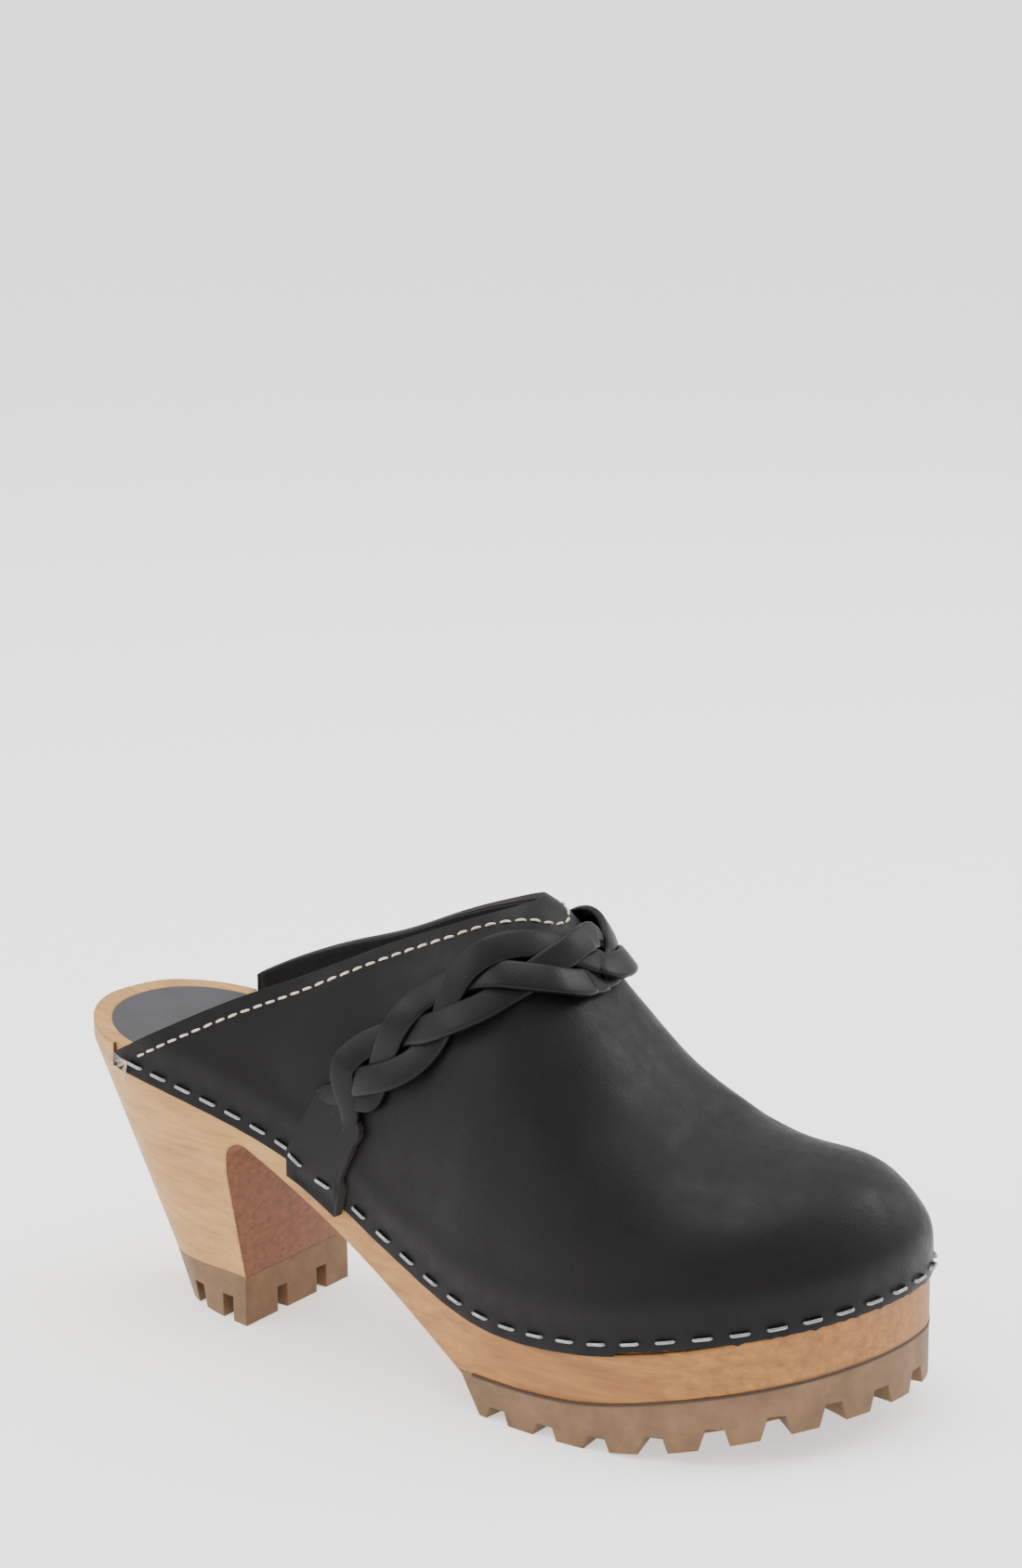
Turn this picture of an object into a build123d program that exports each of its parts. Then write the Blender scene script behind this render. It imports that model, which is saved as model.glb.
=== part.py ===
from build123d import *
import math
import os

import numpy as np

# Heeled slip-on clog for the right foot: carved wooden base, rubber treads, leather upper stapled
# to the wood's edge, and a plaited leather strap over the instep.
# X runs from heel to toe, Y to the inner (medial) side, Z up from the ground. Millimetres.

# driving dimensions
leather = 2.0            # thickness of the upper
rebate = 1.0             # the upper sits this deep in the side of the wood
lining = 0.8             # napped band inside the topline
lining_depth = 16.0
stiffener = 1.0          # toe puff behind the upper
strap = 2.0              # thickness of the strap and its strands
pad = 1.5                # heel pad, let into the footbed
pad_border = 5.0         # wood left bare round the pad
pad_front = 74.0
nail, nail_length, nail_start = 2.2, 22.0, 7.0
heel_tread = 14.0        # thickness of the rubber under the heel
heel_turn = -4.1         # the heel block points a little outward, degrees
heel_shift = 0.6
breast = 60.5            # front face of the heel, along its own axis
breast_round = 4.0
arch_top = 58.0
tread_rear = 125.0
heel_notch_length = 12.0
notch_pitch = 15.8       # lugs round the forefoot tread
notch_width = 6.5
notch_depth = 5.5
notch_length = 13.0
first_notch = 150.5
channel_inset = 17.0
channel_width = 4.0
channel_depth = 3.2
channel_count = 5
staple_crown = 5.6
staple_wire = 1.0
staple_leg = 6.0
heel_run_start, heel_run_pitch, heel_run_count = 8.2, 7.8, 7
front_run_start, front_run_count = 81.0, 37
strap_staples = [(0.125, -8), (0.144, 10)]   # place along the edge, and how far each is askew
staple_height = 3.4      # above the lower edge of the leather
stitch_pitch = 4.0
stitch_length = 2.9
stitch_wire = 0.7
stitch_inset = 4.5       # below the topline
lateral_end = 22.0       # where the upper ends beside the heel
medial_end = 26.0

# outline of the wood seen from above, heel to toe on each side
lateral = [(2, -14.5), (14, -28.5), (43, -33.5), (80, -31.5), (112, -35.5), (145, -43.5)]
lateral += [(175, -47), (204, -43), (226.5, -28), (238.5, -8)]
medial = [(240.5, 21), (228, 36), (205, 42), (175, 40), (145, 33.5), (112, 28), (80, 28.5)]
medial += [(47, 29), (18, 27), (4, 15)]
outline = [(0, 0)] + lateral + [(242, 9)] + medial

# heights along the shoe, as (x, z)
footbed = [(-5, 81), (30, 75), (60, 69.5), (80, 62.5), (112, 46.5), (145, 36), (175, 35), (205, 40), (250, 48)]
margin = [(0, 74.5), (40, 66.5), (80, 53), (112, 36.5), (145, 25.2), (175, 25.2), (205, 30.5), (250, 37.5)]
tread_top = [(125, 11), (150, 10.8), (175, 11.8), (205, 17.2), (250, 24.5)]
tread_bottom = [(125, 0), (155, 0), (180, 0), (205, 3.6), (232, 8.4), (250, 9)]
topline = [(10, 67), (23, 74.5), (40, 84), (60, 94), (80, 102.5), (107, 114.5), (139, 125.5), (160, 131)]
crown = [(10, 125), (60, 129), (100, 129), (122, 127.5), (137, 124.5), (155, 104), (172, 83.5)]
crown += [(190, 71.5), (207, 67.5), (224, 69.5), (250, 72.5)]
waist = [(82.3, 44.8), (127.3, 18.4), (141.3, 10), (148.5, -1)]

# half sections of the heel along its own axis: at the ground, on top of the rubber, and well
# above the footbed, where the outline of the wood takes over
heel_ground = [(29, 0), (32, 11), (40, 16.5), (48, 19.5), (66, 23)]
heel_low = [(23.8, 0), (27, 11.5), (34.5, 17.5), (46, 20.3), (66, 23.8)]
heel_high = [(-5.5, 0), (-2, 17), (12, 32), (42, 37.5), (66, 38)]
heel_high_z = 90.0
heel_front_notches = [-6.75, 10.25]
heel_side_notches = [40.5, 53]
heel_notch_width = 4.2
heel_notch_depth = 7.0

# the plait's middle line on the upper up to the instep, and the outline of a strap end, as
# places on the upper: how far round from the lateral end, and how far up towards the topline
plait_line = [(0.1500, 0.35), (0.168, 0.50), (0.195, 0.62), (0.222, 0.70), (0.252, 0.775)]
plait_line += [(0.290, 0.84), (0.345, 0.89), (0.42, 0.92), (0.50, 0.93)]
plait_turns = 2.4
plait_ramp = 0.08
plait_reach = 6.2
plait_rise = 1.4
plait_stations = 81
strand_width = 7.6
slit_pitch = 5.5         # the strands side by side where they leave the strap
tab = [(0.119, -0.05, 0.08), (0.128, -0.05, 0.25), (0.138, -0.05, 0.40), (0.143, -0.05, 0.45)]
tab += [(0.153, -0.05, 0.43), (0.157, 0.12, 0.41), (0.166, 0.27, 0.37), (0.170, 0.31, 0.34)]
hang = 60.0              # the length on the upper's side that one unit below its edge stands for
reach = 80.0             # half the width of the tools that cut across the shoe
outline_step = 25        # an inset outline is drawn through every such point of the walk

heel_axis = Plane(origin=(0, heel_shift, 0), x_dir=(1, 0, 0)).rotated((0, 0, heel_turn))


def curve(points):
    """A smooth height along x through a few chosen points."""
    xs = np.array([p[0] for p in points], float)
    zs = np.array([p[1] for p in points], float)
    slopes = np.gradient(zs, xs)

    def height(x):
        i = int(np.clip(np.searchsorted(xs, x) - 1, 0, len(xs) - 2))
        h = xs[i + 1] - xs[i]
        u = (x - xs[i]) / h
        rise = zs[i] * (1 + 2 * u) * (1 - u) ** 2 + zs[i + 1] * u * u * (3 - 2 * u)
        return rise + h * slopes[i] * u * (1 - u) ** 2 - h * slopes[i + 1] * u * u * (1 - u)

    return height


footbed_z = curve(footbed)
margin_z = curve(margin)
tread_top_z = curve(tread_top)
tread_bottom_z = curve(tread_bottom)
topline_z = curve(topline)
crown_z = curve(crown)

# the outline as an even walk round the shoe, clockwise from the heel's back
rim = Edge.make_spline([Vector(x, y) for x, y in outline], periodic=True)
rim_halves = [rim.trim(0, 0.5), rim.trim(0.5, 1)]
walk = np.array([tuple(rim.position_at(k / 900))[:2] for k in range(901)])
toe = int(np.argmax(walk[:, 0]))
heel = int(np.argmin(walk[:, 0]))
walk = np.roll(walk[:-1], -heel, axis=0)
toe = int(np.argmax(walk[:, 0]))
lateral_walk = walk[: toe + 1]
medial_walk = walk[: toe - 1 : -1]

# the same walk on the floor of the rebate, where the upper stands
steps = np.roll(walk, -1, axis=0) - np.roll(walk, 1, axis=0)
sunk = walk + rebate * np.column_stack([-steps[:, 1], steps[:, 0]]) / np.hypot(*steps.T)[:, None]
lateral_sunk = sunk[: toe + 1]
medial_sunk = sunk[: toe - 1 : -1]


def blend(x, low, high):
    """Zero below low, one above high, smooth between."""
    u = min(max((x - low) / (high - low), 0.0), 1.0)
    return u * u * (3 - 2 * u)


def ridge_y(x):
    """Where the crown of the upper runs: the middle of the foot, then a little inward."""
    outer = np.interp(x, lateral_sunk[:, 0], lateral_sunk[:, 1])
    inner = np.interp(x, medial_sunk[:, 0], medial_sunk[:, 1])
    return (outer + inner) / 2 + ridge_offset * blend(x, 60, 120)


def spread(x, y):
    """Zero on the ridge and one at the outline; rays from the ball of the foot round the toe."""
    if x < toe_box:
        middle = ridge_y(x)
        side = medial_sunk if y > middle else lateral_sunk
        return abs(y - middle) / abs(np.interp(x, side[:, 0], side[:, 1]) - middle)
    dx, dy = x - toe_box, y - toe_box_y
    reach = np.interp(math.atan2(dy, dx), toe_angles, toe_radii)
    return math.hypot(dx, dy) / reach


def dome_z(x, y):
    """Height of the upper's inner face over a point of the footprint."""
    power = 2 + 0.7 * blend(x, 120, 190)
    height = crown_z(x) - margin_z(x)
    return margin_z(x) + height * max(1 - min(spread(x, y), 1) ** power, 0) ** (1 / power)


ridge_offset = 5.0
medial_rise = 4.0        # the topline ends a little higher on the medial side
toe_box = 188.0
toe_box_y = ridge_y(toe_box)
rays = sunk - np.array([toe_box, toe_box_y])
rays = rays[rays[:, 0] > -2]
rays = rays[np.argsort(np.arctan2(rays[:, 1], rays[:, 0]))]
toe_angles = np.arctan2(rays[:, 1], rays[:, 0])
toe_radii = np.hypot(rays[:, 0], rays[:, 1])

first = int(np.argmax(lateral_sunk[:, 0] > lateral_end))
last = len(sunk) - int(np.argmax(medial_sunk[:, 0] > medial_end)) - 1
edge = sunk[first : last + 1]
edge_length = np.concatenate([[0], np.cumsum(np.hypot(*np.diff(edge, axis=0).T))])


def edge_point(t):
    """A point of the wood's edge under the upper, t from the lateral end round the toe."""
    distance = t * edge_length[-1]
    return np.array([np.interp(distance, edge_length, edge[:, k]) for k in (0, 1)])


def inward(t, a):
    """A point a part of the way from the outline to the ridge below the throat."""
    start = edge_point(t)
    x = start[0] if start[0] < 90 else 90 + 44 * math.tanh((start[0] - 90) / 60)
    return start + a * (np.array([x, ridge_y(x)]) - start)


def reach_of_topline(t):
    """How far inward the upper goes before it meets the topline."""
    low, high = 0.0, 1.0
    for _ in range(40):
        a = (low + high) / 2
        x, y = inward(t, a)
        if dome_z(x, y) < topline_z(x) + medial_rise * blend(y, 0, 20) * blend(-x, -90, -25):
            low = a
        else:
            high = a
    return low


reach_t = np.linspace(0, 1, 161)
reach_a = np.array([reach_of_topline(t) for t in reach_t])


def skin(t, s):
    """The upper's inner face: s is 0 at the wood and 1 at the topline, and below 0 hangs down."""
    a = np.interp(t, reach_t, reach_a) * max(s, 0) ** 2
    x, y = inward(t, a)
    return np.array([x, y, dome_z(x, y) + hang * min(s, 0)])


def lifted(t, s, lift):
    """A point lifted off the inner face without leaving the upright section through t."""
    step = 0.004
    t1, t2 = max(t - step, 0), min(t + step, 1)
    s1, s2 = s - step, min(s + step, 1)
    along = skin(t2, s) - skin(t1, s)
    up = skin(t, s2) - skin(t, s1)
    normal = np.cross(along, up)
    normal /= np.linalg.norm(normal)
    across = np.append(edge_point(t) - inward(t, 1), 0)
    across /= np.linalg.norm(across)
    in_plane = across * (normal @ across) + np.array([0, 0, normal[2]])
    return skin(t, s) + lift * in_plane / (in_plane @ in_plane)


def sheet(ts, lows, highs, lift, thickness, rows=9, ruled=False):
    """A bent sheet on the upper between two lines of s, as one closed solid."""
    sections = []
    for t, low, high in zip(ts, lows, highs):
        heights = np.linspace(low, high, rows)
        inside = [Vector(*lifted(t, s, lift)) for s in heights]
        outside = [Vector(*lifted(t, s, lift + thickness)) for s in heights[::-1]]
        edges = [Edge.make_spline(inside), Edge.make_line(inside[-1], outside[0])]
        edges += [Edge.make_spline(outside), Edge.make_line(outside[-1], inside[0])]
        sections.append(Wire(edges))
    return Solid.make_loft(sections, ruled=ruled)


def line(*points):
    """A curve through the points, or a straight line between two."""
    points = [Vector(*p) for p in points]
    return Edge.make_spline(points) if len(points) > 2 else Edge.make_line(*points)


def side_solid(lower, upper):
    """Everything between two lines of the side view, across the whole width."""
    low = [(x, -reach, z) for x, z in lower]
    high = [(x, -reach, z) for x, z in upper]
    edges = [line(*low), line(low[-1], high[-1]), line(*high), line(high[0], low[0])]
    return extrude(Face(Wire(edges)), amount=2 * reach, dir=(0, 1, 0))


def upright(face, low, high):
    return extrude(face.moved(Location((0, 0, low))), amount=high - low, dir=(0, 0, 1))


def inset_footprint(inset):
    """The outline of the wood drawn in by the same distance all round."""
    inward_steps = np.column_stack([-steps[:, 1], steps[:, 0]]) / np.hypot(*steps.T)[:, None]
    points = (walk + inset * inward_steps)[::outline_step]
    ring = Edge.make_spline([Vector(x, y) for x, y in points], periodic=True)
    return Face(Wire([ring.trim(0, 0.5), ring.trim(0.5, 1)]))


def heel_block(low_section, low_z, high_section, high_z):
    """The heel's tapering sides, ruled between two D-shaped sections."""
    wires = []
    for section, z in ((low_section, low_z), (high_section, high_z)):
        points = [(x, -y, z) for x, y in section[::-1]] + [(x, y, z) for x, y in section[1:]]
        points = [heel_axis.from_local_coords(Vector(*p)) for p in points]
        wires.append(Wire([Edge.make_spline(points), Edge.make_line(points[-1], points[0])]))
    return Solid.make_loft(wires, ruled=True)


def heel_box(x0, x1, y0, y1, z0, z1):
    """A plain block set along the heel's own axis."""
    return heel_axis.location * Solid.make_box(x1 - x0, y1 - y0, z1 - z0, Plane((x0, y0, z0)))


def make_arch():
    """The open space between the heel's breast and the forefoot."""
    corners = [(breast, -5), (breast, arch_top)] + waist
    profile = make_face(Polyline(*corners, close=True))
    profile = fillet(profile.vertices().sort_by(Axis.Y)[-1], breast_round)
    face_on = Plane(heel_axis.origin, x_dir=heel_axis.x_dir, z_dir=-heel_axis.y_dir)
    return extrude(face_on * profile, amount=reach, both=True)


def make_wood(arch, pad_solid):
    block = heel_block(heel_low, heel_tread, heel_high, heel_high_z)
    block += heel_box(breast + 3, 270, -reach, reach, 0, heel_high_z)
    block = block & upright(footprint, 0, heel_high_z)
    block = block & side_solid([(-10, 0), (260, 0)], footbed)
    block = block - arch - side_solid([(tread_rear, -10), (260, -10)], tread_top)
    block = block - heel_box(-10, breast + 1, -reach, reach, -10, heel_tread)
    inner = upright(inset_footprint(rebate), 0, heel_high_z)
    seat = side_solid(margin, [(0, heel_high_z), (250, heel_high_z)]) - inner
    seat -= heel_box(-10, (lateral_end + medial_end) / 2 - 1, -reach, reach, 0, heel_high_z)
    return block - seat - pad_solid


def make_pad():
    front = Location((pad_front - 60, 0, 0)) * make_face(Ellipse(60, 90).edges())
    layer = side_solid([(x, z - pad) for x, z in footbed], footbed)
    return upright(inset_footprint(pad_border), 50, 90) & upright(front, 50, 90) & layer


def lug_notches():
    """Notches cut in from the edge of the forefoot tread, and channels across its middle."""
    start = int(np.argmax(lateral_walk[:, 0] > first_notch))
    end = len(walk) - int(np.argmax(medial_walk[:, 0] > first_notch))
    path = walk[start:end]
    length = np.concatenate([[0], np.cumsum(np.hypot(*np.diff(path, axis=0).T))])
    count = round(length[-1] / notch_pitch)
    cutters = []
    for k in range(count + 1):
        at = length[-1] * k / count
        x, y = (np.interp(at, length, path[:, i]) for i in (0, 1))
        ahead = [np.interp(min(at + 1, length[-1]), length, path[:, i]) for i in (0, 1)]
        behind = [np.interp(max(at - 1, 0), length, path[:, i]) for i in (0, 1)]
        along = Vector(ahead[0] - behind[0], ahead[1] - behind[1], 0).normalized()
        inward_dir = Vector(0, 0, 1).cross(along)
        depth = notch_depth * (0.65 + 0.35 * blend(x, 180, 225))
        bottom = tread_bottom_z(x)
        profile = [(-notch_width * 0.75, -3), (-notch_width * 0.36, depth)]
        profile += [(notch_width * 0.36, depth), (notch_width * 0.75, -3)]
        plane = Plane(Vector(x, y, bottom) - inward_dir * 3, x_dir=along, z_dir=inward_dir)
        if plane.y_dir.Z < 0:
            profile = [(u, -v) for u, v in profile]
        cutters.append(extrude(plane * make_face(Polyline(*profile, close=True)), notch_length + 3))
    return cutters


def make_outsole(arch):
    block = upright(footprint, 0, 40)
    block = block & side_solid(tread_bottom, tread_top) - arch
    for cutter in lug_notches():
        block -= cutter
    inner = upright(inset_footprint(channel_inset + channel_width), -5, 30)
    channels = upright(inset_footprint(channel_inset), -5, 30) - inner
    for k in range(channel_count):
        x = first_notch + (k + 0.5) * notch_pitch
        bar = Solid.make_box(channel_width, 2 * reach, 40, Plane((x, -reach, -5)))
        channels += inner & bar
    deep = [(x, z + channel_depth) for x, z in tread_bottom]
    channels = channels & side_solid([(tread_bottom[0][0], -9), (tread_bottom[-1][0], -9)], deep)
    return block - channels


def make_heel_lift():
    block = heel_block(heel_ground, 0, heel_low, heel_tread)
    block = block & heel_box(0, breast, -reach, reach, 0, heel_tread)
    half = heel_notch_width / 2
    for y in heel_front_notches:
        block -= heel_box(breast - heel_notch_length, 80, y - half, y + half, -1, heel_notch_depth)
    for x in heel_side_notches:
        for side in (-1, 1):
            y0, y1 = sorted((side * 8, side * reach))
            block -= heel_box(x - half, x + half, y0, y1, -1, heel_notch_depth)
    return block


def make_heel_nails():
    """Nails that hold the heel tread on, their heads sunk in the rubber from below."""
    nails = []
    for x, y in ((42, -8), (42, 8), (54, -11), (54, 11)):
        shank = Solid.make_cylinder(nail / 2, nail_length, Plane((x, y, nail_start)))
        head = Solid.make_cylinder(nail * 1.25, 1.2, Plane((x, y, nail_start)))
        nails.append(heel_axis.location * (shank + head))
    return nails


def sheet_at(ts, low, high, lift, thickness):
    return sheet(ts, [low] * len(ts), [high] * len(ts), lift, thickness)


def make_lining():
    ts = np.linspace(0.03, 0.97, 41)
    lows = [max(1 - lining_depth / height_of(t), 0.35) for t in ts]
    return sheet(ts, lows, [0.99] * len(ts), -lining - 0.2, lining)


def height_of(t):
    """Length of the upper from the wood to the topline."""
    points = np.array([skin(t, s) for s in np.linspace(0, 1, 15)])
    return np.linalg.norm(np.diff(points, axis=0), axis=1).sum()


def make_tab(side):
    """The uncut end of the strap, over the upper and a little below its edge."""
    ts = [t for t, _, _ in tab]
    if side > 0:
        ts = [1 - t for t in ts]
    lows = [low for _, low, _ in tab]
    highs = [high for _, _, high in tab]
    order = np.argsort(ts)
    ts, lows, highs = (np.array(row)[order] for row in (ts, lows, highs))
    return sheet(ts, lows, highs, leather + 0.1, strap, rows=7, ruled=True)


def strap_line(q):
    """The middle of the plait on the upper, q from the lateral end over to the medial end."""
    place = np.interp(min(q, 1 - q) * 2, plait_run, plait_places)
    t, s = float(plait_t(place)), float(plait_s(place))
    return (t, s) if q <= 0.5 else (1 - t, s)


def strand_point(q, strand):
    """Centre of one strand, where it lies across the plait and over or under the others."""
    start = blend(q, 0, plait_ramp) * blend(1 - q, 0, plait_ramp)
    phase = 2 * math.pi * (plait_turns * q + strand / 3)
    side_by_side = (strand - 1) * slit_pitch
    across = start * plait_reach * math.sin(phase) + (1 - start) * side_by_side
    over = leather + 0.05 + strap / 2 + start * (0.65 + plait_rise * (1 + math.sin(2 * phase)))
    t, s = strap_line(q)
    step = 0.004
    t0, s0 = strap_line(max(q - step, 0))
    t1, s1 = strap_line(min(q + step, 1))
    middle = lifted(t, s, leather)
    by_t = (lifted(t + step, s, leather) - lifted(t - step, s, leather)) / (2 * step)
    by_s = (lifted(t, min(s + step, 1), leather) - lifted(t, s - step, leather))
    by_s /= min(s + step, 1) - s + step
    normal = np.cross(by_t, by_s)
    normal /= np.linalg.norm(normal)
    heading = by_t * (t1 - t0) + by_s * (s1 - s0)
    sideways = np.cross(normal, heading)
    sideways /= np.linalg.norm(sideways)
    dt, ds = np.linalg.lstsq(np.column_stack([by_t, by_s]), sideways * across, rcond=None)[0]
    return lifted(t + dt, min(s + ds, 1), over), normal


def make_strand(strand):
    sections = []
    stations = np.linspace(0, 1, plait_stations)
    for q in stations:
        centre, normal = strand_point(q, strand)
        ahead = strand_point(min(q + 0.003, 1), strand)[0]
        behind = strand_point(max(q - 0.003, 0), strand)[0]
        heading = ahead - behind
        plane = Plane(Vector(*centre), x_dir=Vector(*np.cross(normal, heading)), z_dir=Vector(*heading))
        sections.append(plane * Wire.make_rect(strand_width, strap))
    return Solid.make_loft(sections, ruled=True)


def wall(t, rise, lift):
    """A point and directions on the leather's edge, against the side of the wood."""
    step = 0.003
    x0, y0 = edge_point(max(t - step, 0))
    x1, y1 = edge_point(min(t + step, 1))
    along = Vector(x1 - x0, y1 - y0, margin_z(x1) - margin_z(x0)).normalized()
    out = Vector(y1 - y0, x0 - x1, 0).normalized()
    x, y = edge_point(t)
    return Vector(x, y, margin_z(x) + rise) + out * lift, along, out


def staple(t, lift, turn=0.0):
    """A narrow crown staple driven through the leather into the wood."""
    centre, along, out = wall(t, staple_height, lift + staple_wire / 2)
    half = staple_crown / 2 - staple_wire / 2
    corners = [(-half, 0, -staple_leg), (-half, 0, 0), (half, 0, 0), (half, 0, -staple_leg)]
    path = FilletPolyline(*corners, radius=staple_wire * 0.8)
    section = Plane(path @ 0, z_dir=path % 0) * Circle(staple_wire / 2)
    body = sweep(section, path=path)
    return Plane(centre, x_dir=along, z_dir=out).location * Location((0, 0, 0), (0, 0, turn)) * body


def make_rim_staples():
    total = edge_length[-1]
    heel_run = np.arange(heel_run_count) * heel_run_pitch + heel_run_start
    front = np.linspace(front_run_start, total - front_run_start, front_run_count)
    places = list(heel_run) + list(front) + list(total - heel_run)
    return [staple(place / total, leather) for place in places]


def make_strap_staples():
    places = [(t, turn) for t, turn in strap_staples] + [(1 - t, -turn) for t, turn in strap_staples]
    return [staple(t, leather + strap, turn) for t, turn in places]


def make_stitching():
    """A row of stitches just below the topline, each one a short length of thread."""
    ts = np.linspace(0.012, 0.988, 400)
    row = np.array([lifted(t, 1 - stitch_inset / height_of(t), leather + 0.2) for t in ts])
    run = np.concatenate([[0], np.cumsum(np.linalg.norm(np.diff(row, axis=0), axis=1))])
    stitches = []
    for at in np.arange(stitch_pitch, run[-1] - stitch_pitch, stitch_pitch):
        ends = [[np.interp(at + d, run, row[:, k]) for k in range(3)] for d in (0, stitch_length)]
        start, end = (Vector(*p) for p in ends)
        plane = Plane(start, z_dir=end - start)
        stitches.append(Solid.make_cylinder(stitch_wire / 2, stitch_length, plane))
    return stitches


plait_t = curve([(k, t) for k, (t, _) in enumerate(plait_line)])
plait_s = curve([(k, s) for k, (_, s) in enumerate(plait_line)])
plait_places = np.linspace(0, len(plait_line) - 1, 161)
plait_path = np.array([skin(float(plait_t(k)), float(plait_s(k))) for k in plait_places])
plait_run = np.concatenate([[0], np.cumsum(np.linalg.norm(np.diff(plait_path, axis=0), axis=1))])
plait_run /= plait_run[-1]
footprint = Face(Wire(rim_halves))
arch = make_arch()
heel_pad = make_pad()
nails = make_heel_nails()
wood = make_wood(arch, heel_pad)
lift = make_heel_lift()
for shape in nails:
    wood -= shape
    lift -= shape
pieces = {
    "wood_base": wood,
    "forefoot_outsole": make_outsole(arch),
    "heel_lift": lift,
    "heel_nails": Compound(nails),
    "heel_pad": heel_pad,
    "upper_leather": sheet_at(np.linspace(0, 1, 41), 0, 1, 0.05, leather),
    "topline_lining": make_lining(),
    "toe_stiffener": sheet_at(np.linspace(0.27, 0.73, 21), 0.07, 0.55, -stiffener - 0.2, stiffener),
    "strap_tab_lateral": make_tab(-1),
    "strap_tab_medial": make_tab(1),
    "rim_staples": Compound(make_rim_staples()),
    "strap_staples": Compound(make_strap_staples()),
    "topline_stitching": Compound(make_stitching()),
}
for number in (1, 2, 3):
    pieces[f"braid_strand_{number}"] = make_strand(number - 1)

# the origin sits on the ground under the middle of the whole clog
box = Compound(list(pieces.values())).bounding_box()
centre = Location((-(box.min.X + box.max.X) / 2, -(box.min.Y + box.max.Y) / 2, -box.min.Z))
print("moved by", centre.position, "size", box.size)
os.makedirs("parts", exist_ok=True)
for name, piece in pieces.items():
    export_step(piece.moved(centre), f"parts/{name}.step")
    print(name, len(piece.solids()), round(piece.volume))
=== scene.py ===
import math
import random

import bmesh
import bpy
import numpy as np
from mathutils import Matrix, Vector


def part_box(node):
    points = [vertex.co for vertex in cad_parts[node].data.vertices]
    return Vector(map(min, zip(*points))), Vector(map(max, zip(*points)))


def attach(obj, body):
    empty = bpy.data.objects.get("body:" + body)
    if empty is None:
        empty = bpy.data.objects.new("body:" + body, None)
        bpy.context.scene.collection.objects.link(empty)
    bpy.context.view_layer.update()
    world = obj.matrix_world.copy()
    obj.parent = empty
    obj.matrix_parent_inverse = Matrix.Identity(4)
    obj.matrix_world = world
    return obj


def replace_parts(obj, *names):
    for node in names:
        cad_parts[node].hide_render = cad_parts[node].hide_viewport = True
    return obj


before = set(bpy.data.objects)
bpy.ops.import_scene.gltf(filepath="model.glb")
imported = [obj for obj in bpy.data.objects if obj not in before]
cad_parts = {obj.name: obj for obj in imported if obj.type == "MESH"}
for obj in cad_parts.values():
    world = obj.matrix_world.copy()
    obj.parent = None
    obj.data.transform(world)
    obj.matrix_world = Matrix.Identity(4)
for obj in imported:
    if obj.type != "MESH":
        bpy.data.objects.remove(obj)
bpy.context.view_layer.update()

mm = 0.001


# ---- the clog's own lines, in millimetres, x from the back of the heel, as on its maker's pattern

clog = {
    # the outline of the wood from above, from the heel round the outer side first
    "outline": [(0, 0), (2, -14.5), (14, -28.5), (43, -33.5), (80, -31.5), (112, -35.5), (145, -43.5),
                (175, -47), (204, -43), (226.5, -28), (238.5, -8), (242, 9), (240.5, 21), (228, 36),
                (205, 42), (175, 40), (145, 33.5), (112, 28), (80, 28.5), (47, 29), (18, 27), (4, 15)],
    # heights along the shoe, as (x, z): the leather's lower edge, its top edge, and the ridge of its dome
    "margin": [(0, 74.5), (40, 66.5), (80, 53), (112, 36.5), (145, 25.2), (175, 25.2), (205, 30.5),
               (250, 37.5)],
    "topline": [(10, 67), (23, 74.5), (40, 84), (60, 94), (80, 102.5), (107, 114.5), (139, 125.5),
                (160, 131)],
    "crown": [(10, 125), (60, 129), (100, 129), (122, 127.5), (137, 124.5), (155, 104), (172, 83.5),
              (190, 71.5), (207, 67.5), (224, 69.5), (250, 72.5)],
    "rebate": 1.0,                          # the leather sits this far inside the wood's outline
    "lateralEnd": 22.0, "medialEnd": 26.0,  # where the leather ends on each side of the heel
    "ridgeOffset": 5.0,                     # the instep's ridge leans this far to the big toe
    "medialRise": 4.0,                      # the top edge is this much higher on the inner side
    "toeBox": 188.0,                        # from here on the dome is round the toes
    "hang": 60.0,                           # length of one unit below the leather's lower edge
    "leather": 2.0, "strap": 2.0, "lining": 0.8,
}


def closedWalk(points, count):
    # a smooth closed line through the points, cut into even steps
    points = np.array(points, float)
    n = len(points)
    chord = np.linalg.norm(np.roll(points, -1, axis=0) - points, axis=1)
    system = np.zeros((n, n))
    right = np.zeros((n, 2))
    for k in range(n):
        before, after = chord[k - 1], chord[k]
        ahead, behind = points[(k + 1) % n] - points[k], points[k] - points[k - 1]
        system[k, k - 1] += 1 / before
        system[k, k] += 2 / before + 2 / after
        system[k, (k + 1) % n] += 1 / after
        right[k] = 3 * (behind / before ** 2 + ahead / after ** 2)
    slopes = np.linalg.solve(system, right)
    u = np.linspace(0, 1, 200, endpoint=False)[:, None]
    fine = [between(u, chord[k], points[k], points[(k + 1) % n], slopes[k], slopes[(k + 1) % n])
            for k in range(n)]
    fine = np.vstack(fine + [points[:1]])
    run = runAlong(fine)
    at = np.linspace(0, run[-1], count + 1)[:-1]
    return np.column_stack([np.interp(at, run, fine[:, k]) for k in (0, 1)])


def between(u, span, start, end, startSlope, endSlope):
    # a cubic from start to end as u goes from 0 to 1
    height = start * (1 + 2 * u) * (1 - u) ** 2 + end * u * u * (3 - 2 * u)
    return height + span * startSlope * u * (1 - u) ** 2 - span * endSlope * u * u * (1 - u)


def runAlong(points):
    return np.concatenate([[0], np.cumsum(np.linalg.norm(np.diff(points, axis=0), axis=1))])


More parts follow.
